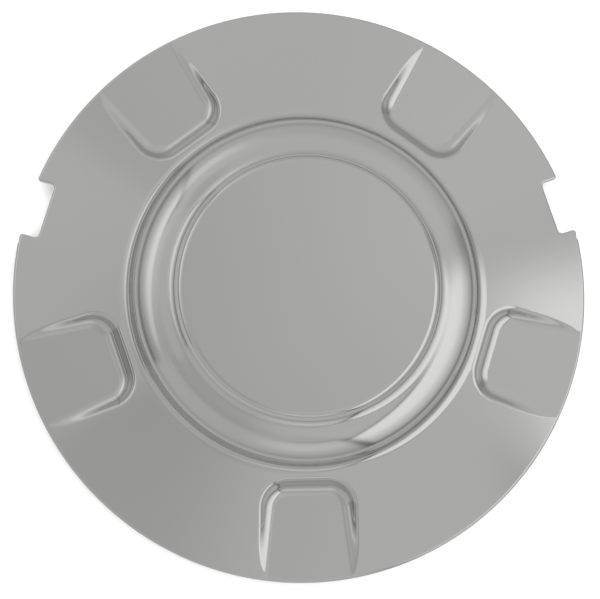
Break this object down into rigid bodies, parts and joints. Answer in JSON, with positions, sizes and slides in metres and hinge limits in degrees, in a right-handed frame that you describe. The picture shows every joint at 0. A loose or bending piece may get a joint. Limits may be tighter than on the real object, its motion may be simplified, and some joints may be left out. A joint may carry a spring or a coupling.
{
  "type": "wheel centre cap",
  "caption": "Round chrome-plated wheel centre cap with a sloping flange, flat U-shaped pads, a low dome, rim notches and snap fingers on the back.",
  "frame": {"origin": "on the cap's axis, in the plane of the snap fingers' tips, on which the cap stands", "axes": "+Z along the axis out of the polished face, +Y midway between the two rim notches, +X to the right of the face"},
  "size_m": [0.17, 0.17, 0.0288],
  "materials": {
    "chrome_plating": "polished chrome plating over moulded plastic"
  },
  "bodies": {
    "root": {"cap": "chrome_plating"}
  },
  "joints": []
}
